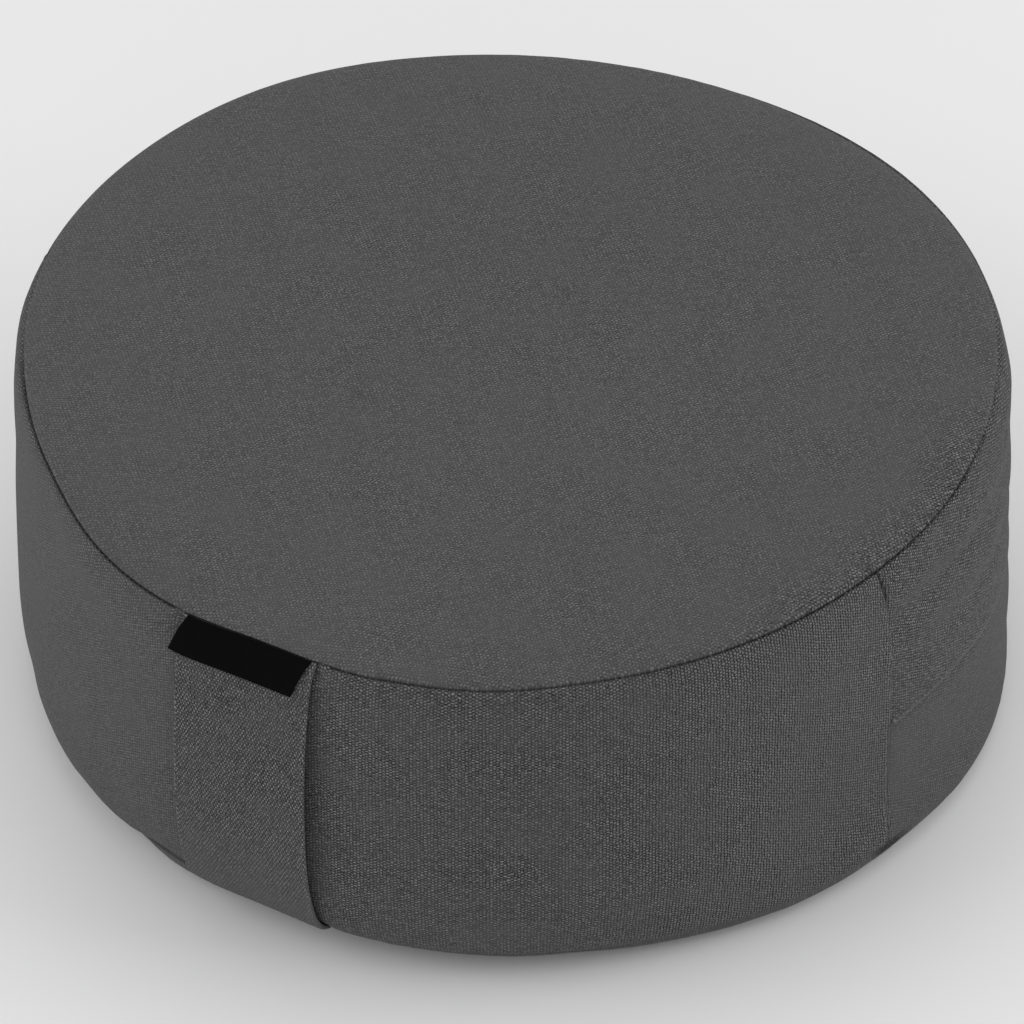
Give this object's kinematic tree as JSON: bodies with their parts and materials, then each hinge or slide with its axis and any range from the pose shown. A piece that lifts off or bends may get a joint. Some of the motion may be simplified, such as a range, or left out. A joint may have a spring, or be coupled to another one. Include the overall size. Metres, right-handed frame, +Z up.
{
  "type": "zafu meditation cushion",
  "caption": "Round, firmly filled meditation cushion in dark grey woven cloth, with a sewn rim and hem, a zipped rear band, a carry strap and a plain black tag.",
  "frame": {"origin": "middle of the flat base, where it rests on the floor", "axes": "+Z up through the cushion, -Y towards the carry strap, +X to the right when facing the strap"},
  "size_m": [0.3841, 0.3867, 0.1603],
  "materials": {
    "grey_cloth": "matt plain-woven dark grey cotton canvas",
    "black_tag": "matt black woven tape, blank"
  },
  "bodies": {
    "root": {"cushion": "grey_cloth", "carry_strap": "grey_cloth", "strap_tag": "black_tag"}
  },
  "joints": []
}
